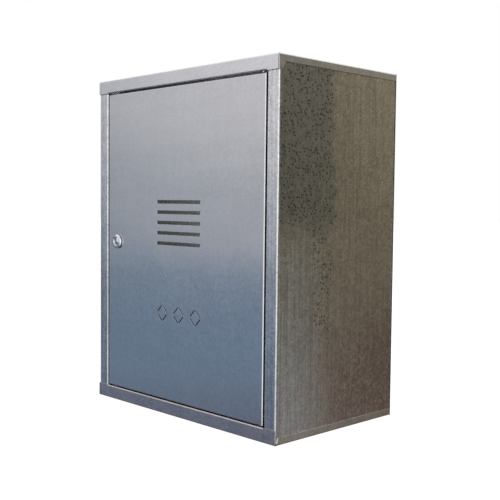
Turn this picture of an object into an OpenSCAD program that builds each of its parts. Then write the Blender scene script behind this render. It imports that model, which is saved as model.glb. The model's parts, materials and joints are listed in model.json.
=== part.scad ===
// Wall cabinet for a utility meter, folded from galvanised sheet steel.
// The origin is the centre of the base. +Z is up and the door faces -Y.

/* [Cabinet] */
// Overall width across the cap flanges
body_w = 400; // [340:10:600]
// Overall depth, from the front cap flange to the wall
body_d = 247; // [200:1:320]
// Overall height
body_h = 505; // [400:5:800]
// Thickness of the galvanised sheet
sheet = 1; // [0.8:0.1:1.2]
// Outer radius of every fold
fold_r = 2; // [1.5:0.1:2.5]

/* [Caps] */
// Height of the front flange of the top cover and bottom tray
cap_front_h = 20; // [16:1:28]
// Height of the side and rear flanges of the caps
cap_side_h = 10; // [8:1:14]
// Depth of the lip folded back from the front flange
cap_lip_d = 16; // [14:1:20]
// Depth of the tall tab at the front of the top cover's side flange
cap_tab_d = 6; // [4:1:9]

/* [Side panels] */
// Width of the front strip beside the door, measured from the outside of the cabinet
strip_w = 22; // [16:1:28]
// Width of the lip behind the strip: the door stop on the left, a stiffener on the right
side_lip_w = 10; // [8:1:12]
// Width of the rear return that carries the back panel
rear_return_w = 15; // [12:1:20]

/* [Door] */
// Gap on the left and right of the door
door_side_gap = 3; // [2.5:0.1:4]
// Gap above the door
door_top_gap = 2.5; // [2:0.1:4]
// Gap below the door
door_foot_gap = 1.6; // [1.5:0.1:3]
// Depth of the returns folded round the door
door_d = 15; // [14:1:16]

/* [Door cut-outs] */
// Number of ventilation slots
vent_count = 5; // [3:1:7]
// Length of a ventilation slot
vent_l = 98; // [60:1:160]
// Height of a ventilation slot
vent_h = 5; // [3:0.5:8]
// Distance between slot centres
vent_pitch = 15.3; // [10:0.1:24]
// Height of the middle slot above the base
vent_z = 284.3; // [250:0.1:330]
// Number of lozenges in the punched pattern
lozenge_count = 3; // [1:1:5]
// Width of a lozenge
lozenge_w = 26; // [16:1:30]
// Height of a lozenge
lozenge_h = 26; // [16:1:30]
// Distance between lozenge centres
lozenge_pitch = 37.5; // [30:0.5:45]
// Height of the lozenge centres above the base
lozenge_z = 150; // [100:1:200]
// Width of the punched stroke
stroke = 1.6; // [1.5:0.1:3]
// Sheet left at each corner of a lozenge
bridge = 4; // [3:0.5:6]

/* [Hinge] */
// Distance of the pivot from the door's right edge
pivot_inset = 10; // [9:0.5:12]
// Distance of the pivot behind the door's front face
pivot_back = 6; // [5.5:0.5:7]
// Diameter of the hinge pins
pin_d = 5; // [4:0.5:6]

/* [Lock] */
// Distance of the lock axis from the cabinet's left side
lock_inset = 50; // [46:1:52]
// Height of the lock axis above the base
lock_z = 252; // [200:1:300]
// Diameter of the lock's bezel
bezel_d = 22; // [21:1:26]
// How far the bezel stands in front of the door
bezel_h = 4; // [3.5:0.5:9]
// Length of the cam from the lock axis to its tip
cam_l = 29; // [27:0.5:29.5]

/* [Mounting] */
// Distance between the wall-fixing holes across the back
wall_hole_dx = 300; // [200:10:320]
// Distance between the wall-fixing holes up the back
wall_hole_dz = 400; // [200:10:440]
// Diameter of a wall-fixing hole
wall_hole_d = 9; // [6:0.5:12]
// Distance between the two pipe holes in the base
pipe_pitch = 110; // [90:5:160]
// Bore of a pipe bush, for a one-inch steel pipe
pipe_bore_d = 34.5; // [28:0.5:42]

/* [Hidden] */
$fn = 64;

fold_steps = 8;
fold_mid_r = fold_r - sheet / 2;
through = 1;

seam = 0.8;
corner_slant = 6;

// Planes of the cabinet
front_y = -body_d / 2;
back_y = body_d / 2;
strip_y = front_y + sheet;
shell_back_y = back_y - sheet;
side_x = body_w / 2 - sheet;
side_end_z = fold_r + sheet;
opening_x = body_w / 2 - strip_w;
cap_lip_x = opening_x - 0.3;
opening_z0 = cap_front_h;
opening_z1 = body_h - cap_front_h;

// Door
door_x = opening_x - door_side_gap;
door_z0 = opening_z0 + door_foot_gap;
door_z1 = opening_z1 - door_top_gap;
door_y = strip_y;
door_rear_y = door_y + door_d;
stop_gap = 0.3;
side_lip_y = door_rear_y + stop_gap;

// Hinge
pivot_x = door_x - pivot_inset;
pivot_y = door_y + pivot_back;
pin_r = pin_d / 2;
running = 0.05;
pin_hole_r = pin_r + running;
pin_head_r = 4.5;
pin_head_h = 2.5;
pin_tip = 1;
groove_r = pin_r - 0.5;
groove_h = 0.9;
clip_r = 4.5;
clip_h = 0.7;
clip_mouth = 3.2;
bush_r = 4;
bush_flange_r = 6;
bush_flange_h = 1;
bush_l = 6.5;
bush_chamfer = 0.4;
hinge_plate_w = 36;
hinge_plate_d = 12.5;
hinge_plate_h = 2;
hinge_plate_corner = 3;
hinge_clearance = 0.2;
pin_reach = 3.5;
upper_clip_z = door_z1 - bush_l - hinge_clearance - clip_h;

// Pipe bushes
pipe_bore_r = pipe_bore_d / 2;
pipe_bush_r = pipe_bore_r + 3.2;
pipe_flange_r = pipe_bore_r + 8;
pipe_flange_h = 2.5;
pipe_bush_l = 8;
pipe_bush_edge = 1;
pipe_y = 20;

// Lock, measured along its own axis from the door's front face, positive towards the front
lock_x = -body_w / 2 + lock_inset;
gasket_h = 0.8;
housing_r = 9.5;
housing_flat = 16;
housing_back = -16.2;
housing_fit = 0.1;
bezel_edge = 1.6;
bezel_foot = 0.4;
core_r = 6.5;
core_front = bezel_h - 0.8;
core_back = housing_back - 0.5;
core_edge = 0.5;
core_bevel = 0.7;
keyway_w = 2;
keyway_l = 8.5;
keyway_depth = 5;
tail_w = 7;
tail_short = 0.2;
cam_h = 2.5;
cam_front = core_back - 0.1;
cam_back = cam_front - cam_h;
cam_w = 14;
cam_hub_r = 9;
cam_washer_h = 1.2;
cam_washer_r = 6;
screw_r = 2.5;
screw_head_r = 4.5;
screw_head_h = 3;
screw_head_edge = 1;
screw_l = 9;
recess_w = 1;
recess_l = 4.4;
recess_depth = 1.6;
lock_washer_h = 0.8;
lock_washer_r = 12.6;
washer_teeth = 12;
washer_notch = 1.6;
nut_flats = 23;
nut_h = 5;
nut_chamfer = 0.8;

// Vents: the group is centred just left of the middle of the door
vent_x = -1.5;

galvanised = "lightsteelblue";
galvanised_door = "silver";
zinc = "gainsboro";
chrome = "whitesmoke";

// Points along an arc, in order
function arc(centre, r, from, to, steps) =
    [for (i = [0:steps]) centre + r * [cos(from + (to - from) * i / steps),
                                       sin(from + (to - from) * i / steps)]];

function unit(v) = v / norm(v);
function left_normal(v) = [-v.y, v.x];
function heading(v) = atan2(v.y, v.x);

// One side of a folded strip at its corner i: the arc of the fold, at the given offset to the left
function fold_points(path, i, offset_left) =
    let (into = unit(path[i] - path[i - 1]),
         out = unit(path[i + 1] - path[i]),
         turn = heading([into * out, into.x * out.y - into.y * out.x]),
         side = turn > 0 ? 1 : -1,
         centre = path[i] - into * fold_mid_r * tan(abs(turn) / 2)
                  + left_normal(into) * fold_mid_r * side,
         start = heading(-left_normal(into) * side))
    arc(centre, fold_mid_r - side * offset_left, start, start + turn, fold_steps);

// One side of a folded strip, at the given offset to the left of its middle line
function strip_edge(path, offset_left) =
    let (last = len(path) - 1,
         first_normal = left_normal(unit(path[1] - path[0])),
         last_normal = left_normal(unit(path[last] - path[last - 1])))
    concat([path[0] + first_normal * offset_left],
           [for (i = [1:last - 1]) each fold_points(path, i, offset_left)],
           [path[last] + last_normal * offset_left]);

function reversed(list) = [for (i = [len(list) - 1:-1:0]) list[i]];

// Cross-section of a sheet folded along a path through the middle of its thickness
module folded_section(path) {
    polygon(concat(strip_edge(path, sheet / 2), reversed(strip_edge(path, -sheet / 2))));
}

// Extrudes a (y, z) section along X between two planes
module along_x(x0, x1) {
    translate([x0, 0, 0]) rotate([90, 0, 90]) linear_extrude(x1 - x0) children();
}

// Extrudes an (x, z) section along Y between two planes
module along_y(y0, y1) {
    translate([0, y1, 0]) rotate([90, 0, 0]) linear_extrude(y1 - y0) children();
}

// Extrudes an (x, y) section up between two levels
module along_z(z0, z1) {
    translate([0, 0, z0]) linear_extrude(z1 - z0) children();
}

// A cap lying on its plate, flanges up. front_end_x is where its front flange ends.
module cap(front_end_x) {
    plate_z = sheet / 2;
    flange_y = front_y + sheet / 2;
    lip_z = cap_front_h - sheet / 2;
    rear_y = shell_back_y - sheet / 2;
    fold_x = body_w / 2 - fold_r;
    with_lip = [[front_y + cap_lip_d, lip_z], [flange_y, lip_z], [flange_y, plate_z],
                [rear_y, plate_z], [rear_y, cap_side_h]];
    without_lip = [[flange_y, cap_front_h], [flange_y, plate_z], [shell_back_y, plate_z]];
    side_flange = [[fold_x - sheet, plate_z], [body_w / 2 - sheet / 2, plate_z],
                   [body_w / 2 - sheet / 2, cap_side_h]];
    along_x(-cap_lip_x, cap_lip_x) folded_section(with_lip);
    for (side = [0, 1]) mirror([side, 0, 0]) {
        along_x(cap_lip_x, fold_x) folded_section(without_lip);
        along_x(fold_x, front_end_x) intersection() {
            folded_section(without_lip);
            translate([front_y, 0]) square([fold_r, cap_front_h]);
        }
        along_y(front_y + fold_r, shell_back_y) folded_section(side_flange);
    }
}

// Hole for a hinge pin through a cap's lip and its doubler plate
module pin_hole(z0, z1) {
    translate([pivot_x, pivot_y, z0]) cylinder(r = pin_hole_r, h = z1 - z0);
}

// Top cover: the cap turned over. Its side flanges run forward as tabs that close the front corners.
module top_cover() {
    tab = [[front_y, fold_r], [front_y, cap_front_h], [front_y + cap_tab_d, cap_front_h],
           [front_y + 2 * cap_tab_d, cap_side_h], [front_y + 2 * cap_tab_d, fold_r]];
    color(galvanised) difference() {
        translate([0, 0, body_h]) mirror([0, 0, 1]) {
            cap(side_x - seam);
            for (side = [0, 1]) mirror([side, 0, 0]) along_x(side_x, body_w / 2) polygon(tab);
        }
        pin_hole(opening_z1 - through, opening_z1 + sheet + through);
    }
}

// Bottom tray: the cap with its side flanges cut back on a slant, and the pipe holes
module bottom_tray() {
    slant = [[strip_y, -through], [strip_y, cap_side_h + through],
             [strip_y + corner_slant, cap_side_h + through], [strip_y + seam, -through]];
    color(galvanised) difference() {
        cap(body_w / 2);
        for (side = [0, 1]) mirror([side, 0, 0])
            along_x(body_w / 2 - fold_r, body_w / 2 + through) polygon(slant);
        pin_hole(opening_z0 - sheet - through, opening_z0 + through);
        for (side = [-1, 1]) translate([side * pipe_pitch / 2, pipe_y, -through])
            cylinder(r = pipe_bush_r, h = sheet + 2 * through);
    }
}

// Side panel on the +X side. lip_end_x is where the lip behind its front strip ends.
module side_panel(lip_end_x) {
    return_x = opening_x + sheet / 2;
    wall_x = side_x - sheet / 2;
    path = [[lip_end_x, side_lip_y + sheet / 2], [return_x, side_lip_y + sheet / 2],
            [return_x, strip_y + sheet / 2], [wall_x, strip_y + sheet / 2],
            [wall_x, shell_back_y - sheet / 2], [side_x - rear_return_w, shell_back_y - sheet / 2]];
    along_z(side_end_z, body_h - side_end_z) folded_section(path);
}

// Left side: its lip turns into the door opening, as the door's stop and the cam's keeper
module left_side() {
    color(galvanised) mirror([1, 0, 0]) side_panel(opening_x - side_lip_w);
}

// Right side: its lip turns away from the opening, clear of the door's swing
module right_side() {
    color(galvanised) side_panel(opening_x + sheet + side_lip_w);
}

// Back panel: a flat sheet over the rear returns, with the wall-fixing holes
module back_panel() {
    color(galvanised) difference() {
        translate([-body_w / 2, shell_back_y, 0]) cube([body_w, sheet, body_h]);
        for (x = [-1, 1], z = [-1, 1])
            translate([x * wall_hole_dx / 2, back_y + through, body_h / 2 + z * wall_hole_dz / 2])
                rotate([90, 0, 0]) cylinder(d = wall_hole_d, h = sheet + 2 * through);
    }
}

// Doubler plate that stiffens a cap's lip round a hinge pin, with rounded corners
module hinge_plate(z0) {
    x1 = cap_lip_x - hinge_clearance - hinge_plate_corner;
    x0 = x1 - hinge_plate_w + 2 * hinge_plate_corner;
    y0 = front_y + fold_r + hinge_clearance;
    color(galvanised) difference() {
        translate([0, 0, z0]) {
            translate([x0, y0, 0]) cube([x1 - x0, hinge_plate_d, hinge_plate_h]);
            for (x = [x0, x1]) {
                translate([x - hinge_plate_corner, y0 + hinge_plate_corner, 0])
                    cube([2 * hinge_plate_corner, hinge_plate_d - 2 * hinge_plate_corner, hinge_plate_h]);
                for (y = [y0 + hinge_plate_corner, y0 + hinge_plate_d - hinge_plate_corner])
                    translate([x, y, 0]) cylinder(r = hinge_plate_corner, h = hinge_plate_h);
            }
        }
        pin_hole(z0 - through, z0 + hinge_plate_h + through);
    }
}

module upper_hinge_plate() { hinge_plate(opening_z1 + sheet); }
module lower_hinge_plate() { hinge_plate(opening_z0 - sheet - hinge_plate_h); }

// Upper pin: dropped in from above, through the lip and the door's bush, with a groove for its clip
module upper_hinge_pin() {
    head_z = opening_z1 + sheet + hinge_plate_h;
    groove_z = upper_clip_z - (groove_h - clip_h) / 2;
    tip_z = groove_z - pin_reach + pin_tip;
    color(zinc) difference() {
        translate([pivot_x, pivot_y, 0]) {
            translate([0, 0, head_z]) cylinder(r = pin_head_r, h = pin_head_h);
            translate([0, 0, tip_z + pin_tip]) cylinder(r = pin_r, h = head_z - tip_z);
            translate([0, 0, tip_z]) cylinder(r1 = pin_r - pin_tip, r2 = pin_r, h = pin_tip);
        }
        translate([pivot_x, pivot_y, groove_z]) difference() {
            cylinder(r = pin_head_r, h = groove_h);
            cylinder(r = groove_r, h = groove_h);
        }
    }
}

// Retaining clip: an open ring that snaps into the groove from behind
module upper_pin_clip() {
    color(zinc) translate([pivot_x, pivot_y, upper_clip_z]) difference() {
        cylinder(r = clip_r, h = clip_h);
        translate([0, 0, -through]) cylinder(r = groove_r + running, h = clip_h + 2 * through);
        translate([-clip_mouth / 2, 0, -through])
            cube([clip_mouth, clip_r + through, clip_h + 2 * through]);
    }
}

// Lower pin: riveted into the doubler plate, standing up into the door's bush
module lower_hinge_pin() {
    head_z = opening_z0 - sheet - hinge_plate_h - pin_head_h;
    tip_z = door_z0 + bush_l + pin_reach;
    color(zinc) translate([pivot_x, pivot_y, 0]) {
        translate([0, 0, head_z]) cylinder(r = pin_head_r, h = pin_head_h);
        translate([0, 0, head_z]) cylinder(r = pin_r, h = tip_z - pin_tip - head_z);
        translate([0, 0, tip_z - pin_tip]) cylinder(r1 = pin_r, r2 = pin_r - pin_tip, h = pin_tip);
    }
}

// Washer that carries the door on the lower lip
module hinge_washer() {
    washer_h = door_foot_gap - bush_flange_h - hinge_clearance;
    color("dimgray") translate([pivot_x, pivot_y, opening_z0]) difference() {
        cylinder(r = bush_flange_r, h = washer_h);
        translate([0, 0, -through]) cylinder(r = pin_hole_r, h = washer_h + 2 * through);
    }
}

// Sleeve that lines a pipe hole, level with the underside of the base
module pipe_bush(side) {
    color("dimgray") translate([side * pipe_pitch / 2, pipe_y, 0]) rotate_extrude() polygon([
        [pipe_bore_r, 0], [pipe_bush_r - running, 0], [pipe_bush_r - running, sheet],
        [pipe_flange_r, sheet], [pipe_flange_r, sheet + pipe_flange_h - pipe_bush_edge],
        [pipe_flange_r - pipe_bush_edge, sheet + pipe_flange_h], [pipe_bush_r, sheet + pipe_flange_h],
        [pipe_bush_r, pipe_bush_l - pipe_bush_edge], [pipe_bush_r - pipe_bush_edge, pipe_bush_l],
        [pipe_bore_r, pipe_bush_l]
    ]);
}

module left_pipe_bush() { pipe_bush(-1); }
module right_pipe_bush() { pipe_bush(1); }

// Outline with its two front corners rounded, for the door's pan
function front_rounded(w0, w1, y0, y1, r) =
    concat(arc([w0 + r, y0 + r], r, 180, 270, fold_steps),
           arc([w1 - r, y0 + r], r, 270, 360, fold_steps), [[w1, y1], [w0, y1]]);

function swapped(points) = [for (p = points) [p.y, p.x]];

// Block with its four front edges rounded, inset from the door's outline
module door_block(inset, rear_y) {
    r = fold_r - inset;
    intersection() {
        along_z(door_z0 + inset, door_z1 - inset)
            polygon(front_rounded(-door_x + inset, door_x - inset, door_y + inset, rear_y, r));
        along_x(-door_x + inset, door_x - inset)
            polygon(swapped(front_rounded(door_z0 + inset, door_z1 - inset, door_y + inset, rear_y, r)));
    }
}

// Ventilation slots, one above the other
module vent_slots() {
    for (i = [0:vent_count - 1])
        translate([vent_x - vent_l / 2, door_y - through,
                   vent_z + (i - (vent_count - 1) / 2) * vent_pitch - vent_h / 2])
            cube([vent_l, sheet + 2 * through, vent_h]);
}

// A row of lozenges, each four strokes with sheet left at the corners
module lozenges() {
    slope = atan2(lozenge_h, lozenge_w);
    stroke_l = norm([lozenge_w, lozenge_h]) / 2 - bridge;
    for (i = [0:lozenge_count - 1], x = [-1, 1], z = [-1, 1])
        translate([(i - (lozenge_count - 1) / 2) * lozenge_pitch + x * (lozenge_w - stroke) / 4,
                   door_y + sheet / 2, lozenge_z + z * (lozenge_h - stroke) / 4])
            rotate([0, x * z * slope, 0])
                cube([stroke_l, sheet + 2 * through, stroke], center = true);
}

// Places a shape that is drawn along the lock's axis, with +Z towards the front
module at_lock() {
    translate([lock_x, door_y, lock_z]) rotate([90, 0, 0]) children();
}

// Round bar with two flats, for the lock's housing and its hole
module double_flat(r, flats, z0, z1) {
    intersection() {
        translate([0, 0, z0]) cylinder(r = r, h = z1 - z0);
        translate([-flats / 2, -r - 1, z0]) cube([flats, 2 * r + 2, z1 - z0]);
    }
}

// Door: a pan folded from one sheet
module door_panel() {
    color(galvanised_door) difference() {
        door_block(0, door_rear_y);
        door_block(sheet, door_rear_y + through);
        vent_slots();
        lozenges();
        at_lock() double_flat(housing_r + housing_fit, housing_flat + 2 * housing_fit,
                              -sheet - through, through);
        for (z = [door_z0 - through, door_z1 - sheet - through])
            translate([pivot_x, pivot_y, z]) cylinder(r = bush_r, h = sheet + 2 * through);
    }
}

// Flanged bush, flange down, with its flange under z = 0
module hinge_bush() {
    color("dimgray") rotate_extrude() polygon([
        [pin_hole_r, -bush_flange_h], [bush_flange_r - bush_chamfer, -bush_flange_h],
        [bush_flange_r, -bush_flange_h + bush_chamfer], [bush_flange_r, 0], [bush_r - running, 0],
        [bush_r - running, bush_l - bush_chamfer], [bush_r - running - bush_chamfer, bush_l],
        [pin_hole_r, bush_l]
    ]);
}

module upper_hinge_bush() {
    translate([pivot_x, pivot_y, door_z1]) mirror([0, 0, 1]) hinge_bush();
}

module lower_hinge_bush() {
    translate([pivot_x, pivot_y, door_z0]) hinge_bush();
}

// Lock body: domed bezel with its housing behind, bored for the core
module lock_body() {
    bezel_r = bezel_d / 2;
    bore_r = core_r + running;
    color(chrome) at_lock() difference() {
        union() {
            rotate_extrude() polygon(concat(
                [[0, gasket_h], [bezel_r - bezel_foot, gasket_h], [bezel_r, gasket_h + bezel_foot]],
                arc([bezel_r - bezel_edge, bezel_h - bezel_edge], bezel_edge, 0, 90, fold_steps),
                [[0, bezel_h]]));
            double_flat(housing_r, housing_flat, housing_back, gasket_h + through);
        }
        translate([0, 0, housing_back - through])
            cylinder(r = bore_r, h = bezel_h - housing_back + 2 * through);
        translate([0, 0, bezel_h - core_bevel])
            cylinder(r1 = bore_r, r2 = bore_r + core_bevel, h = core_bevel);
    }
}

// Flat ring along the lock's axis
module lock_ring(r_in, r_out, z0, z1) {
    translate([0, 0, z0]) difference() {
        cylinder(r = r_out, h = z1 - z0);
        translate([0, 0, -through]) cylinder(r = r_in, h = z1 - z0 + 2 * through);
    }
}

module lock_gasket() {
    color("black") at_lock() lock_ring(housing_r + running, bezel_d / 2 - bezel_foot, 0, gasket_h);
}

// Toothed washer behind the door's sheet
module lock_washer() {
    color(zinc) at_lock() difference() {
        lock_ring(housing_r + running, lock_washer_r, -sheet - lock_washer_h, -sheet);
        for (i = [0:washer_teeth - 1]) rotate([0, 0, i * 360 / washer_teeth])
            translate([lock_washer_r - washer_notch / 2, -washer_notch / 2, -sheet - lock_washer_h - through])
                cube([washer_notch, washer_notch, lock_washer_h + 2 * through]);
    }
}

// Hexagon nut with chamfered corners
module lock_nut() {
    corner_r = nut_flats / 2 / cos(30);
    back = -sheet - lock_washer_h - nut_h;
    color(zinc) at_lock() difference() {
        intersection() {
            translate([0, 0, back]) cylinder(r = corner_r, h = nut_h, $fn = 6);
            translate([0, 0, back]) rotate_extrude() polygon([
                [0, 0], [nut_flats / 2, 0], [corner_r, nut_chamfer],
                [corner_r, nut_h - nut_chamfer], [nut_flats / 2, nut_h], [0, nut_h]
            ]);
        }
        translate([0, 0, back - through]) cylinder(r = housing_r + running, h = nut_h + 2 * through);
    }
}

// Lock core: turning cylinder with a key slot in front and a square tail behind
module lock_core() {
    color(chrome) at_lock() difference() {
        union() {
            translate([0, 0, core_back]) cylinder(r = core_r, h = core_front - core_edge - core_back);
            translate([0, 0, core_front - core_edge])
                cylinder(r1 = core_r, r2 = core_r - core_edge, h = core_edge);
            translate([-tail_w / 2, -tail_w / 2, cam_back + tail_short])
                cube([tail_w, tail_w, core_back - cam_back]);
        }
        translate([-keyway_w / 2, -keyway_l / 2, core_front - keyway_depth])
            cube([keyway_w, keyway_l, keyway_depth + through]);
        translate([0, 0, cam_back - through]) cylinder(r = screw_r + running, h = screw_l + through);
    }
}

// Cam: hangs down when the lock is open, and lies behind the left stop lip when it is locked
module lock_cam() {
    tip_r = cam_w / 2;
    color(zinc) at_lock() translate([0, 0, cam_back]) difference() {
        union() {
            cylinder(r = cam_hub_r, h = cam_h);
            translate([-cam_w / 2, -cam_l + tip_r, 0]) cube([cam_w, cam_l - tip_r, cam_h]);
            translate([0, -cam_l + tip_r, 0]) cylinder(r = tip_r, h = cam_h);
        }
        translate([-tail_w / 2 - running, -tail_w / 2 - running, -through])
            cube([tail_w + 2 * running, tail_w + 2 * running, cam_h + 2 * through]);
    }
}

module cam_washer() {
    color(zinc) at_lock()
        lock_ring(screw_r + running, cam_washer_r, cam_back - cam_washer_h, cam_back);
}

// Pan-head screw with a cross recess
module cam_screw() {
    head_z = cam_back - cam_washer_h;
    color(zinc) at_lock() difference() {
        union() {
            translate([0, 0, head_z]) cylinder(r = screw_r, h = screw_l);
            translate([0, 0, head_z]) mirror([0, 0, 1]) rotate_extrude() polygon(concat(
                [[0, 0], [screw_head_r, 0]],
                arc([screw_head_r - screw_head_edge, screw_head_h - screw_head_edge],
                    screw_head_edge, 0, 90, fold_steps),
                [[0, screw_head_h]]));
        }
        for (a = [0, 90]) rotate([0, 0, a])
            translate([-recess_l / 2, -recess_w / 2, head_z - screw_head_h - through])
                cube([recess_l, recess_w, recess_depth + through]);
    }
}

top_cover();
bottom_tray();
left_side();
right_side();
back_panel();
upper_hinge_plate();
lower_hinge_plate();
upper_hinge_pin();
upper_pin_clip();
lower_hinge_pin();
hinge_washer();
left_pipe_bush();
right_pipe_bush();
door_panel();
upper_hinge_bush();
lower_hinge_bush();
lock_body();
lock_gasket();
lock_washer();
lock_nut();
lock_core();
lock_cam();
cam_washer();
cam_screw();
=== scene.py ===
"""Looks for the galvanised wall cabinet: materials, detailed pieces, light, floor and camera."""
import json
import math

import bmesh
import bpy
from mathutils import Matrix, Vector, noise


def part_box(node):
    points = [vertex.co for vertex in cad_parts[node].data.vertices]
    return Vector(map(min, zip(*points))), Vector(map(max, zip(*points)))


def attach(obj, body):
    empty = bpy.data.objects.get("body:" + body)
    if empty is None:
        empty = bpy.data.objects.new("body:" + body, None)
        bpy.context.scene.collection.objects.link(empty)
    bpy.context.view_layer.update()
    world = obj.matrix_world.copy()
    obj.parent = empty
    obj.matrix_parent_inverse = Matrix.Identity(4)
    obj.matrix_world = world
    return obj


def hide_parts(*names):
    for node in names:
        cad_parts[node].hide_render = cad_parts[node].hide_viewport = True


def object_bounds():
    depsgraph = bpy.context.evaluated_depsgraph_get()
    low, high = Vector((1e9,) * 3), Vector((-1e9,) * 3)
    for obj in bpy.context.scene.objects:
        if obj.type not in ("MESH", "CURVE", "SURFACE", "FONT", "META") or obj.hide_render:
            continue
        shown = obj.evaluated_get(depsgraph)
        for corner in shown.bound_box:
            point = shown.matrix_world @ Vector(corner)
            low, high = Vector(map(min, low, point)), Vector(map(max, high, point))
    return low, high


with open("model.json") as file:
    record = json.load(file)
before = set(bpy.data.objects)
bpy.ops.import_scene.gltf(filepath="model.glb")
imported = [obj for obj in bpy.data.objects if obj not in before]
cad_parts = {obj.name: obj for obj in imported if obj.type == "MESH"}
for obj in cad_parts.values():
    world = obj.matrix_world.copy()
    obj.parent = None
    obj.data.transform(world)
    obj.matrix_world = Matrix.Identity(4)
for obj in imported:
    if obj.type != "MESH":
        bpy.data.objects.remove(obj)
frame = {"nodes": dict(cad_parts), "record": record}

cad_low, cad_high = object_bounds()
cad_centre = (cad_low + cad_high) / 2
nodes = frame["nodes"]

UP = Vector((0, 0, 1))
GAUGE = 0.001  # thickness of the sheet
door_low, door_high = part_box("door_panel")
side_low, side_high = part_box("right_side")
back_low, back_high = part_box("back_panel")
cap_foot = cad_high.z - 0.020  # lower edge of the top cover's front flange
flange_foot = cad_high.z - 0.010  # lower edge of the top cover's side flanges
strip_end = side_low.y + 0.003  # rear edge of the strip that ends a side panel at the front


# ---------------------------------------------------------------- shader helpers
class Graph:
    """A shader tree being built. Each method adds nodes and, but for node, returns an output."""

    def __init__(self, tree):
        self.tree = tree
        tree.nodes.clear()

    def node(self, kind, inputs=(), **settings):
        made = self.tree.nodes.new(kind)
        for name, value in settings.items():
            setattr(made, name, value)
        for key, value in dict(inputs).items():
            if isinstance(value, bpy.types.NodeSocket):
                self.tree.links.new(value, made.inputs[key])
            else:
                made.inputs[key].default_value = value
        return made

    def math(self, operation, a, b=0.0, clamp=False):
        return self.node("ShaderNodeMath", {0: a, 1: b}, operation=operation,
                         use_clamp=clamp).outputs[0]

    def product(self, first, *others):
        for other in others:
            first = self.math("MULTIPLY", first, other)
        return first

    def weighted(self, *parts):
        """The sum of each part times its weight."""
        total = 0.0
        for part, weight in parts:
            total = self.math("ADD", self.product(part, weight), total)
        return total

    def dot(self, a, b):
        return self.node("ShaderNodeVectorMath", {0: a, 1: b},
                         operation="DOT_PRODUCT").outputs["Value"]

    def stretched(self, vector, scale):
        return self.node("ShaderNodeVectorMath", {0: vector, 1: scale},
                         operation="MULTIPLY").outputs["Vector"]

    def step(self, value, low, high):
        """0 below low and 1 above high, smooth in between. low may be above high."""
        return self.node("ShaderNodeMapRange", {"Value": value, "From Min": low, "From Max": high},
                         interpolation_type="SMOOTHSTEP").outputs[0]

    def within(self, value, low, high, soft):
        """1 between low and high, falling to 0 over soft outside them."""
        return self.product(self.step(value, low - soft, low), self.step(value, high + soft, high))

    def spread(self, value, low, high):
        """Maps 0..1 to low..high."""
        return self.node("ShaderNodeMapRange",
                         {"Value": value, "To Min": low, "To Max": high}).outputs[0]

    def mix(self, factor, a, b, blend="MIX"):
        made = self.node("ShaderNodeMix", data_type="RGBA", blend_type=blend)
        for socket, value in zip((made.inputs[0], made.inputs[6], made.inputs[7]), (factor, a, b)):
            if isinstance(value, bpy.types.NodeSocket):
                self.tree.links.new(value, socket)
            elif isinstance(value, (int, float)):
                socket.default_value = value
            else:
                socket.default_value = (*value, 1)
        return made.outputs[2]

    def tint(self, factor, colour, tint):
        return self.mix(factor, colour, tint, "MULTIPLY")

    def layers(self, value, colour, *bands):
        """Covers a colour with bands. Each gives the value where it starts to show, the value
        where it covers all, and its colour."""
        for start, full, band in bands:
            colour = self.mix(self.step(value, start, full), colour, band)
        return colour

    def xyz(self, vector):
        return self.node("ShaderNodeSeparateXYZ", {0: vector}).outputs[:3]

    def noise(self, vector, scale, detail=3.0, roughness=0.55):
        return self.node("ShaderNodeTexNoise", {"Vector": vector, "Scale": scale, "Detail": detail,
                                                "Roughness": roughness}).outputs[0]

    def cells(self, vector, scale):
        """Voronoi cells: the outputs Distance, from a cell's middle, and Color, one for each."""
        return self.node("ShaderNodeTexVoronoi", {"Vector": vector, "Scale": scale}).outputs


def grey(value):
    return (value, value, value)


def principled(name, **settings):
    """A new material with a Principled shader. Returns the material, its graph and its shader."""
    material = bpy.data.materials.new(name)
    material.use_nodes = True
    graph = Graph(material.node_tree)
    shader = graph.node("ShaderNodeBsdfPrincipled",
                        {key.replace("_", " ").title(): value for key, value in settings.items()})
    graph.node("ShaderNodeOutputMaterial", {"Surface": shader.outputs[0]})
    return material, graph, shader


def feed(graph, shader, colour, roughness, height, depth):
    """Gives a shader its colour, its roughness and a bump of that depth in metres."""
    graph.tree.links.new(colour, shader.inputs["Base Color"])
    graph.tree.links.new(roughness, shader.inputs["Roughness"])
    bump = graph.node("ShaderNodeBump", {"Height": height, "Strength": 1.0, "Distance": depth})
    graph.tree.links.new(bump.outputs[0], shader.inputs["Normal"])


# ---------------------------------------------------------------- galvanised sheet
# Scales are per metre, so a scale of 500 gives detail about 2 mm across.
ROLLING_FINE, ROLLING_LONG = 430.0, 7.0  # rolling lines, across and along the direction of rolling
SHADE_RANGE = 0.32
SHEET_BUMP = 0.00014


def mottling(graph, place):
    return graph.noise(place, 22, 4, 0.6)


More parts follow.
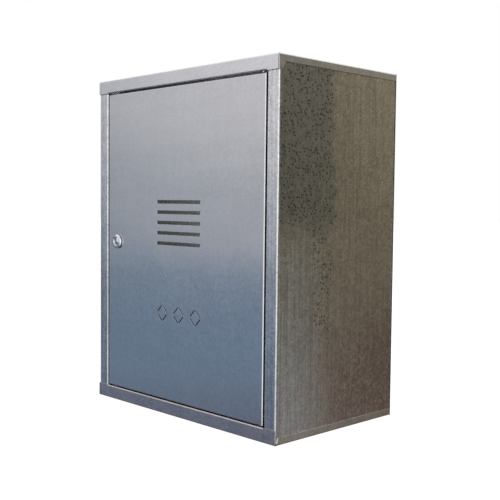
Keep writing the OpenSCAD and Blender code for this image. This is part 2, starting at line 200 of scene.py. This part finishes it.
def galvanised(name, base, roll, roughness, contrast, lines, bands=0.0, marks=None):
    """Spangle cells, mottling, grain and faint rolling lines along the axis roll."""
    material, graph, shader = principled(name, metallic=1.0)
    place = graph.node("ShaderNodeTexCoord").outputs["Object"]
    spangle = graph.xyz(graph.cells(place, 210)["Color"])[0]
    fine_spangle = graph.xyz(graph.cells(place, 520)["Color"])[1]
    grain = graph.noise(place, 900, 2)
    along = [ROLLING_LONG if axis == roll else ROLLING_FINE for axis in "xyz"]
    rolling = graph.noise(graph.stretched(place, along), 1.0, 4, 0.7)
    band = graph.noise(graph.stretched(place, (3.0, 3.0, 34.0)), 1.0, 3, 0.6)

    parts = ((spangle, 0.16), (mottling(graph, place), 0.30), (fine_spangle, 0.22),
             (rolling, 0.8 * lines), (grain, 0.30), (band, bands))
    shade = graph.weighted(*((graph.math("SUBTRACT", part, 0.5), weight) for part, weight in parts))
    low = tuple(c * (1 - 0.15 * contrast) for c in base)
    high = tuple(min(1.0, c * (1 + 0.15 * contrast)) for c in base)
    colour = graph.mix(graph.step(shade, -SHADE_RANGE, SHADE_RANGE), low, high)
    if marks:
        colour = marks(graph, place, colour)
    rough = graph.spread(graph.weighted((spangle, 0.5), (grain, 0.5)),
                         roughness - 0.04, roughness + 0.05)
    height = graph.weighted((graph.noise(place, 30, 1), 0.5), (grain, 0.05),
                            (rolling, 0.05 * lines), (spangle, 0.02))
    feed(graph, shader, colour, rough, height, SHEET_BUMP)
    return material


# The side panels' colours: stains, front strips darker towards the bottom, and painted reflection,
# painted highlight and painted shadow, as marked below. Each tint multiplies the sheet's colour,
# and each other colour covers it.
# The wall tint on the next line is a painted reflection: the warm brown of the yard that the walls
# reflect.
STRIP_TINT, WALL_REFLECTION_TINT = grey(0.80), (0.97, 0.905, 0.80)
# A painted highlight on the ridges, and a painted reflection that turns the lower front of the wall
# cool and lighter.
RIDGE_HIGHLIGHT_TINT, RIDGED_REFLECTION_TINT = (1.25, 1.26, 1.30), (0.97, 1.06, 1.18)
# The second colour on the next line darkens the upper front of the wall.
PITS, UPPER_FRONT_DARK, SPOTS = (0.30, 0.28, 0.26), (0.33, 0.36, 0.39), (0.08, 0.10, 0.10)
# The second colour on the next line is the painted shadow along the seams of the cap.
RUST, SEAM_SHADOW = (0.44, 0.32, 0.29), grey(0.03)
PITS_COVER, UPPER_FRONT_DARK_COVER, SPOTS_COVER, RUST_COVER, SEAM_SHADOW_COVER = 0.30, 0.56, 0.80, 0.70, 0.90


def side_stains_and_painted_light(graph, place, colour):
    """A dark spotted patch at the upper front of a side panel; upright ridges below it, painted as
    light streaks (painted highlight) on a cool lighter tint (painted reflection); a trail of spots
    behind them; faint rust at the lower rear; a warm tint on the walls (painted reflection); front
    strips darker towards the bottom; and a dashed painted shadow along the seams of the cap."""
    x, y, z = graph.xyz(place)
    wobble = graph.product(graph.math("SUBTRACT", mottling(graph, place), 0.5), 0.06)
    y_soft = graph.math("ADD", y, wobble)
    z_soft = graph.math("ADD", z, graph.product(wobble, 1.5))
    outside = graph.step(graph.math("ABSOLUTE", x),
                         side_high.x - 0.8 * GAUGE, side_high.x - 0.4 * GAUGE)
    wall = graph.product(graph.step(y, strip_end, strip_end + 0.001), outside)
    strip = graph.step(y, strip_end, strip_end - 0.002)

    # The front strips are darker towards the bottom.
    colour = graph.tint(graph.product(graph.step(z, 0.38, 0.20), strip), colour, STRIP_TINT)
    # Painted reflection: the walls are tinted warm for the brown yard they reflect.
    colour = graph.tint(wall, colour, WALL_REFLECTION_TINT)
    pits = graph.step(graph.noise(place, 620, 2, 0.6), 0.58, 0.40)
    colour = graph.mix(graph.product(pits, wall, PITS_COVER), colour, PITS)

    # Painted highlight and painted reflection: the upright ridges are only light streaks, over a
    # cool lighter lower front of the wall.
    ridge_highlight = graph.step(graph.noise(graph.stretched(place, (1.0, 430.0, 2.2)), 1.0, 2), 0.42, 0.60)
    ridged_highlight_and_reflection = graph.product(graph.step(y_soft, -0.006, -0.085), wall,
                           graph.step(z_soft, 0.31, 0.22))
    colour = graph.tint(graph.product(ridge_highlight, ridged_highlight_and_reflection), colour, RIDGE_HIGHLIGHT_TINT)
    colour = graph.tint(ridged_highlight_and_reflection, colour, RIDGED_REFLECTION_TINT)

    # A darker area at the upper front of the wall; the spots gather in it and in the trail behind
    # it.
    upper_front_dark = graph.product(graph.step(y_soft, -0.006, -0.024), graph.step(z_soft, 0.260, 0.300),
                          wall)
    trail = graph.product(graph.within(y_soft, -0.045, -0.022, 0.012),
                          graph.within(z_soft, 0.16, 0.30, 0.05), 0.9)
    spotted = graph.math("ADD", graph.math("MAXIMUM", upper_front_dark, trail), 0.10, clamp=True)
    cell = graph.cells(place, 235)
    spot = graph.step(cell["Distance"], 0.48, 0.24)
    picked = graph.step(graph.xyz(cell["Color"])[2], 0.26, 0.46)
    colour = graph.mix(graph.product(upper_front_dark, UPPER_FRONT_DARK_COVER), colour, UPPER_FRONT_DARK)
    colour = graph.mix(graph.product(spot, picked, spotted, outside, SPOTS_COVER), colour, SPOTS)

    rust = graph.product(graph.step(z_soft, 0.18, 0.08), graph.step(y_soft, -0.045, 0.01),
                         graph.step(graph.noise(place, 250, 3), 0.40, 0.60), outside)
    colour = graph.mix(graph.product(rust, RUST_COVER), colour, RUST)

    # Painted shadow along the seams of the cap: a dashed dark line under its front flange on the
    # strips and under its side flanges on the walls.
    dashes = graph.spread(graph.step(graph.noise(place, 330, 2), 0.40, 0.56), 0.35, 1.0)
    under_cap = graph.product(graph.within(z, cap_foot - 0.0012, cap_foot + 0.0002, 0.0003),
                              graph.step(y, strip_end - 0.001, strip_end - 0.002))
    under_flange = graph.product(
        graph.within(z, flange_foot - 0.0008, flange_foot + 0.0002, 0.0003), wall, 0.6)
    # Painted shadow: the strips are also dark where the cap's front flange covers them.
    covered = graph.product(graph.step(z, cap_foot + 0.0002, cap_foot + 0.0006), strip)
    seam_shadow = graph.product(graph.math("ADD", under_cap, under_flange), dashes)
    seam_shadow = graph.math("MAXIMUM", seam_shadow, covered)
    return graph.mix(graph.math("MULTIPLY", seam_shadow, SEAM_SHADOW_COVER, clamp=True), colour, SEAM_SHADOW)


def cut_edges(graph, place, colour):
    """The bare edge of the sheet, which the zinc doesn't cover, at the sides of the back panel."""
    out = graph.math("ABSOLUTE", graph.xyz(place)[0])
    return graph.tint(graph.step(out, cad_high.x - 0.0020, cad_high.x - 0.0014), colour, grey(0.30))


def tray_marks_and_painted_light(graph, place, colour):
    """Dull cloudy patches and streaks on the bottom tray, whose side flanges are painted brighter:
    painted light against the dark that they reflect.
    """
    cloud = graph.step(graph.noise(place, 26, 4, 0.65), 0.40, 0.66)
    colour = graph.mix(graph.product(cloud, 0.40), colour, (0.36, 0.41, 0.38))
    streak = graph.step(graph.noise(graph.stretched(place, (60.0, 60.0, 260.0)), 1.0, 3),
                        0.46, 0.66)
    colour = graph.mix(graph.product(streak, 0.35), colour, (0.66, 0.60, 0.66))
    # Painted light: the side flanges are tinted brighter.
    out = graph.math("ABSOLUTE", graph.xyz(place)[0])
    return graph.tint(graph.step(out, cad_high.x - 0.0016, cad_high.x - 0.0010), colour,
                      (1.30, 1.34, 1.20))


CAP = galvanised("galvanised_cap", (0.74, 0.735, 0.735), "x", 0.26, 0.7, 0.7)
TRAY = galvanised("galvanised_tray", (0.555, 0.50, 0.515), "x", 0.28, 1.0, 0.8, marks=tray_marks_and_painted_light)
SIDE = galvanised("galvanised_side", grey(0.72), "z", 0.25, 1.9, 1.2, marks=side_stains_and_painted_light)
BACK = galvanised("galvanised_back", (0.70, 0.70, 0.71), "z", 0.28, 1.1, 0.6, marks=cut_edges)
DOOR = galvanised("galvanised_door", (0.61, 0.612, 0.62), "z", 0.17, 0.60, 0.40, bands=0.35)


# ---------------------------------------------------------------- plating and mouldings
def plated(name, base, roughness):
    """Bright zinc plating or chrome, with fine scratches and faint handling marks."""
    material, graph, shader = principled(name, metallic=1.0)
    place = graph.node("ShaderNodeTexCoord").outputs["Object"]
    cloud = graph.noise(place, 260)
    scratch = graph.noise(graph.stretched(place, (400.0, 900.0, 5200.0)), 1.0, 2)
    colour = graph.mix(graph.step(cloud, 0.3, 0.7), tuple(c * 0.88 for c in base), base)
    rough = graph.spread(graph.product(cloud, scratch), roughness * 0.7, roughness * 1.9)
    feed(graph, shader, colour, rough, scratch, 0.00001)
    return material


def moulded(name, base, roughness):
    """Moulded plastic or rubber with a fine matt grain and slightly worn high spots."""
    material, graph, shader = principled(name, metallic=0.0)
    place = graph.node("ShaderNodeTexCoord").outputs["Object"]
    cloud = graph.noise(place, 90)
    worn = tuple(c * 1.35 + 0.01 for c in base)
    colour = graph.mix(graph.step(cloud, 0.3, 0.75), base, worn)
    rough = graph.spread(cloud, roughness - 0.08, roughness + 0.10)
    feed(graph, shader, colour, rough, graph.noise(place, 1500, 2), 0.00003)
    return material


ZINC = plated("zinc_plated", (0.66, 0.67, 0.68), 0.26)
CHROME = plated("lock_chrome", (0.80, 0.81, 0.84), 0.10)
PLUG = plated("lock_plug_face", (0.88, 0.88, 0.91), 0.14)
NYLON = moulded("nylon", grey(0.030), 0.45)
BLACK = moulded("black_plastic", (0.030, 0.031, 0.033), 0.50)
RUBBER = moulded("gasket_rubber", (0.016, 0.016, 0.017), 0.72)

# ---------------------------------------------------------------- mesh helpers
SHARP_SMOOTHING = math.radians(15)


def gather(build):
    """Joins the CAD mesh's loose triangles into whole faces."""
    bmesh.ops.remove_doubles(build, verts=build.verts, dist=1e-6)
    bmesh.ops.dissolve_limit(build, angle_limit=math.radians(0.4), verts=build.verts,
                             edges=build.edges)


def soften(build, offset, chosen=lambda edge: True, clamp=True):
    """Rounds the sharp edges that chosen accepts, as pressing and handling leave them."""
    shortest, sharpest = 0.0012, math.radians(25)
    sharp = [edge for edge in build.edges
             if len(edge.link_faces) == 2 and edge.calc_length() > shortest
             and edge.calc_face_angle(0) > sharpest and chosen(edge)]
    if sharp:
        bmesh.ops.bevel(build, geom=sharp, offset=offset, offset_type="OFFSET", segments=3,
                        profile=0.5, affect="EDGES", clamp_overlap=clamp)


def cut_grid(build, axis, low, high, step):
    """Cuts the mesh into strips of that width along an axis, so that it can bend."""
    count = int((high - low) / step)
    for i in range(1, count):
        point, normal = Vector(), Vector()
        point[axis] = low + (high - low) * i / count
        normal[axis] = 1
        bmesh.ops.bisect_plane(build, geom=build.verts[:] + build.edges[:] + build.faces[:],
                               plane_co=point, plane_no=normal, dist=1e-7)


def from_node(node):
    build = bmesh.new()
    build.from_mesh(nodes[node].data)
    gather(build)
    return build


def finish_piece(build, name, body, material, replaced):
    """Makes a piece of the mesh, in the place of the nodes that replaced names."""
    mesh = bpy.data.meshes.new(name)
    build.to_mesh(mesh)
    build.free()
    mesh.shade_smooth()
    mesh.set_sharp_from_angle(angle=SHARP_SMOOTHING)
    mesh.materials.append(material)
    piece = bpy.data.objects.new(name, mesh)
    bpy.context.scene.collection.objects.link(piece)
    weighted = piece.modifiers.new("weighted_normals", "WEIGHTED_NORMAL")
    weighted.keep_sharp = True
    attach(piece, body)
    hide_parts(*replaced)


# ---------------------------------------------------------------- folded sheets
RIPPLE_GRID, RIPPLE_FADE = 0.022, 0.05


def corner_end(edge):
    """The upright front edges of a cap's flange and tabs, at the cabinet's front corners."""
    a, b = (vert.co for vert in edge.verts)
    return (abs(a.z - b.z) > 0.002 and min(abs(a.x), abs(b.x)) > side_high.x - 0.0003
            and max(a.y, b.y) < side_low.y)


def rear_edge(edge):
    return max(vert.co.y for vert in edge.verts) > back_high.y - 1e-5


def ripple(a, b, seed):
    """Gentle oil-canning of a large sheet, between about -1 and 1."""
    return noise.noise(Vector((a * 9 + seed, b * 13, seed))) + 0.45 * noise.noise(
        Vector((a * 22, b * 31 + seed, 3 + seed)))


def ripple_face(build, node, axis, plane, depth, seed):
    """Ripples the node's large face, which lies across that axis, everywhere but near its edges."""
    low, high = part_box(node)
    across, rise = (0, 2) if axis == 1 else (1, 2)
    for way in (across, rise):
        cut_grid(build, way, low[way], high[way], RIPPLE_GRID)
    for vert in build.verts:
        if abs(vert.co[axis] - plane) > 1.5 * GAUGE:
            continue
        inset = min(min(vert.co[way] - low[way], high[way] - vert.co[way])
                    for way in (across, rise))
        fade = min(1.0, max(0.0, (inset - RIPPLE_GRID) / RIPPLE_FADE))
        vert.co[axis] += depth * fade * fade * (3 - 2 * fade) * ripple(
            vert.co[across], vert.co[rise], seed)


def sheet_piece(node, body, material, edge, rippled=None):
    """A folded sheet with softened edges. rippled gives ripple_face its axis, plane and so on."""
    build = from_node(node)
    if node in ("top_cover", "bottom_tray"):
        soften(build, 0.00045, corner_end, clamp=False)
    if node == "back_panel":
        soften(build, edge, rear_edge)
    else:
        soften(build, edge)
    if rippled:
        ripple_face(build, node, *rippled)
    finish_piece(build, node + "_sheet", body, material, [node])


wall_middle = side_high.x - GAUGE / 2
sheet_piece("top_cover", "cabinet", CAP, 0.0004)
sheet_piece("bottom_tray", "cabinet", TRAY, 0.0004)
sheet_piece("right_side", "cabinet", SIDE, 0.0003, (0, wall_middle, 0.00014, 4))
sheet_piece("left_side", "cabinet", SIDE, 0.0003, (0, -wall_middle, 0.00014, 9))
sheet_piece("back_panel", "cabinet", BACK, 0.0003)
sheet_piece("door_panel", "door", DOOR, 0.00042,
            (1, door_low.y + GAUGE / 2, 0.00016, 2))

# ---------------------------------------------------------------- lock
LATHE_SEGMENTS = 96
lock_low, lock_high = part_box("lock_body")
LOCK = Vector(((lock_low.x + lock_high.x) / 2, door_low.y, (lock_low.z + lock_high.z) / 2))


def from_axis(point):
    return math.hypot(point.x - LOCK.x, point.z - LOCK.z)


def lathe(build, profile):
    """Turns a closed profile of (radius, distance in front of the door) about the lock's axis."""
    turns = [2 * math.pi * i / LATHE_SEGMENTS for i in range(LATHE_SEGMENTS)]
    rings = [[build.verts.new(LOCK + Vector((radius * math.cos(t), -front, radius * math.sin(t))))
              for t in turns] for radius, front in profile]
    for ring, following in zip(rings, rings[1:] + rings[:1]):
        for i in range(LATHE_SEGMENTS):
            j = (i + 1) % LATHE_SEGMENTS
            build.faces.new((ring[i], ring[j], following[j], following[i]))
    bmesh.ops.recalc_face_normals(build, faces=build.faces)


def lock_barrel():
    """The lock's body: a domed bezel, and a housing with turned thread rings and two flats."""
    bezel, front, rear = (lock_high.x - lock_low.x) / 2, LOCK.y - lock_low.y, LOCK.y - lock_high.y
    foot, rim, crest, root, bore, flat, lip = 0.0008, 0.0007, 0.0095, 0.0090, 0.00655, 0.008, 0.0074
    profile = [(crest, foot), (bezel - 0.0005, foot), (bezel, foot + 0.0004), (bezel, foot + rim)]
    for turn in (math.radians(degrees) for degrees in range(10, 91, 10)):
        profile.append((lip + (bezel - lip) * math.cos(turn),
                        foot + rim + (front - foot - rim) * math.sin(turn) ** 0.8))
    profile += [(bore + 0.0005, front), (bore, front - 0.0004), (bore, rear), (root, rear)]
    pitch = 0.001
    for i in range(int(-rear / pitch)):
        profile += [(crest, rear + pitch * (i + 0.35)), (root, rear + pitch * (i + 0.85))]
    build = bmesh.new()
    lathe(build, profile)
    for vert in build.verts:
        if vert.co.y > LOCK.y - foot + 1e-6 and from_axis(vert.co) > 0.0075:
            vert.co.x = min(LOCK.x + flat, max(LOCK.x - flat, vert.co.x))
    finish_piece(build, "lock_barrel", "door", CHROME, ["lock_body"])


def lock_plug():
    """The turning core, with a gently domed face round its key slot."""
    core_low, core_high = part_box("lock_core")
    radius, rise, drop, grid = (core_high.x - core_low.x) / 2, 0.0007, 0.0010, 0.0008
    build = from_node("lock_core")
    soften(build, 0.00018)
    for axis in (0, 2):
        cut_grid(build, axis, core_low[axis], core_high[axis], grid)
    for vert in build.verts:
        if vert.co.y < core_low.y + rise:
            out = from_axis(vert.co) / radius
            vert.co.y -= rise - (rise + drop) * out * out
    finish_piece(build, "lock_plug", "lock_rotor", PLUG, ["lock_core"])


lock_barrel()
lock_plug()

# ---------------------------------------------------------------- small parts
SMALL_PARTS = (
    (CAP, "galvanised_sheet", ("upper_hinge_plate", "lower_hinge_plate")),
    (ZINC, "zinc_plated", ("upper_hinge_pin", "upper_pin_clip", "lower_hinge_pin", "lock_washer",
                           "lock_nut", "lock_cam", "cam_washer", "cam_screw")),
    (NYLON, "nylon", ("hinge_washer", "upper_hinge_bush", "lower_hinge_bush")),
    (BLACK, "black_plastic", ("left_pipe_bush", "right_pipe_bush")),
    (RUBBER, "gasket_rubber", ("lock_gasket",)),
)
body_of = {node: body for body, members in frame["record"]["behaviour"]["bodies"].items()
           for node in members}
for material, slot_name, names in SMALL_PARTS:
    for name in names:
        build = from_node(name)
        soften(build, 0.00022)
        finish_piece(build, name + "_part", body_of[name], material, [name])

# ---------------------------------------------------------------- world light
AMBIENT = (0.95, 0.96, 0.98)  # on plastics and on the floor
SKY = (1.02, 1.02, 1.03)
SOFTBOX_EDGE, SOFTBOX_CORE = (0.80, 0.805, 0.82), (1.30, 1.31, 1.33)


def cool_front(graph, direction, z, z_soft):
    """What the door reflects in the photo: blue-grey low down and pale high up."""
    across = graph.dot(direction, (0.64, -0.77, 0.0))
    right = graph.step(across, -0.16, 0.16)
    middle = graph.mix(right, (0.475, 0.520, 0.590), (0.540, 0.565, 0.610))
    high = graph.mix(right, (0.63, 0.65, 0.70), (0.87, 0.85, 0.88))
    low = graph.layers(z, (0.155, 0.170, 0.235), (-0.28, -0.20, (0.205, 0.290, 0.405)),
                       (-0.12, -0.05, (0.255, 0.340, 0.440)))
    tilted = graph.math("ADD", z_soft, graph.product(right, 0.034))
    colour = graph.layers(tilted, low, (-0.062, -0.022, middle))
    glow = graph.product(graph.within(z_soft, -0.050, -0.020, 0.022), right, 0.5)
    colour = graph.mix(glow, colour, (0.70, 0.66, 0.70))
    return graph.layers(z_soft, colour, (0.030, 0.085, high))


def warm_right(graph, direction, z_soft):
    """What the right side reflects in the photo: a warm dark yard, darker near the front edge."""
    rear = graph.layers(z_soft, (0.098, 0.068, 0.052), (-0.17, -0.04, (0.210, 0.181, 0.130)),
                        (0.0, 0.12, (0.296, 0.262, 0.190)))
    near = graph.layers(z_soft, (0.172, 0.158, 0.126), (-0.060, -0.035, (0.108, 0.110, 0.084)),
                        (0.07, 0.14, (0.158, 0.146, 0.115)), (-0.12, -0.18, (0.196, 0.190, 0.174)),
                        (-0.18, -0.25, (0.330, 0.322, 0.326)))
    return graph.mix(graph.step(graph.dot(direction, (-0.73, 0.68, 0.0)), 0.028, 0.068), near, rear)


def build_world():
    """Light by direction: a soft studio that the bare metal reflects, on plain white."""
    world = bpy.data.worlds.new("studio")
    bpy.context.scene.world = world
    world.use_nodes = True
    world.cycles.sampling_method = "NONE"  # so that each ray sees the light for its own kind
    graph = Graph(world.node_tree)
    direction = graph.node("ShaderNodeTexCoord").outputs["Generated"]
    z = graph.xyz(direction)[2]
    mist = graph.math("SUBTRACT", graph.noise(direction, 3.0, 2), 0.5)
    z_soft = graph.math("ADD", z, graph.product(mist, 0.04))

    behind = graph.step(graph.dot(direction, (0.25, 0.97, 0.0)), -0.10, 0.30)
    around = graph.mix(behind, cool_front(graph, direction, z, z_soft),
                       warm_right(graph, direction, z_soft))
    left = graph.step(graph.dot(direction, (-0.97, -0.20, 0.0)), 0.90, 0.98)
    around = graph.mix(left, around, (0.10, 0.11, 0.13))
    rear_wall = graph.layers(z_soft, (0.22, 0.225, 0.24), (-0.25, 0.15, (0.42, 0.425, 0.44)))
    left_rear = graph.step(graph.dot(direction, (-0.55, 0.83, 0.0)), 0.45, 0.75)
    around = graph.mix(left_rear, around, rear_wall)
    around = graph.layers(z, around, (0.22, 0.60, SKY))
    towards_softbox = graph.dot(direction, (0.70, -0.69, 0.16))
    reflected = graph.layers(towards_softbox, around, (0.30, 0.62, SOFTBOX_EDGE),
                             (0.72, 0.93, SOFTBOX_CORE))

    path = graph.node("ShaderNodeLightPath").outputs
    soft = graph.mix(path["Is Glossy Ray"], AMBIENT, reflected)
    shown = graph.mix(path["Is Camera Ray"], soft, grey(1.0))
    background = graph.node("ShaderNodeBackground", {"Color": shown, "Strength": 1.0})
    graph.node("ShaderNodeOutputWorld", {"Surface": background.outputs[0]})


build_world()

# ---------------------------------------------------------------- light inside, and floor
fill_data = bpy.data.lights.new("opening_fill", "AREA")
fill_data.shape = "RECTANGLE"
fill_data.size, fill_data.size_y = 0.30, 0.36
fill_data.energy = 0.08
fill = bpy.data.objects.new("opening_fill", fill_data)
bpy.context.scene.collection.objects.link(fill)
fill.location = (0.0, door_high.y + 0.002, cad_centre.z)
fill.rotation_euler = (math.radians(90), 0, 0)

FLOOR_HALF = 12.0
floor_mesh = bpy.data.meshes.new("floor")
builder = bmesh.new()
bmesh.ops.create_grid(builder, x_segments=8, y_segments=8, size=FLOOR_HALF)
builder.to_mesh(floor_mesh)
builder.free()
floor = bpy.data.objects.new("floor", floor_mesh)
bpy.context.scene.collection.objects.link(floor)
floor_mesh.materials.append(principled("floor", base_color=(0.40, 0.40, 0.40, 1), roughness=0.9,
                                       emission_color=(1, 1, 1, 1), emission_strength=0.78)[0])
floor.visible_glossy = False

# ---------------------------------------------------------------- camera
SENSOR, LENS = 36.0, 60.65
CAMERA_AZIMUTH, CAMERA_ELEVATION, CAMERA_ROLL = (math.radians(v) for v in (45.864, 3.213, 0.588))
CAMERA_DISTANCE = 1.3037
AIM_RIGHT, AIM_UP = 0.0169, -0.0106

back = Vector((math.sin(CAMERA_AZIMUTH) * math.cos(CAMERA_ELEVATION),
               -math.cos(CAMERA_AZIMUTH) * math.cos(CAMERA_ELEVATION),
               math.sin(CAMERA_ELEVATION)))
level_right = UP.cross(back).normalized()
level_up = back.cross(level_right)
right = level_right * math.cos(CAMERA_ROLL) + level_up * math.sin(CAMERA_ROLL)
up = level_up * math.cos(CAMERA_ROLL) - level_right * math.sin(CAMERA_ROLL)

camera_data = bpy.data.cameras.new("camera")
camera_data.sensor_width = SENSOR
camera_data.lens = LENS
camera_data.clip_start, camera_data.clip_end = 0.01, 100.0
camera = bpy.data.objects.new("camera", camera_data)
bpy.context.scene.collection.objects.link(camera)
place = cad_centre + level_right * AIM_RIGHT + level_up * AIM_UP + back * CAMERA_DISTANCE
camera.matrix_world = Matrix.Translation(place) @ Matrix((right, up, back)).transposed().to_4x4()
bpy.context.scene.camera = camera
bpy.context.scene.view_settings.view_transform = "Standard"
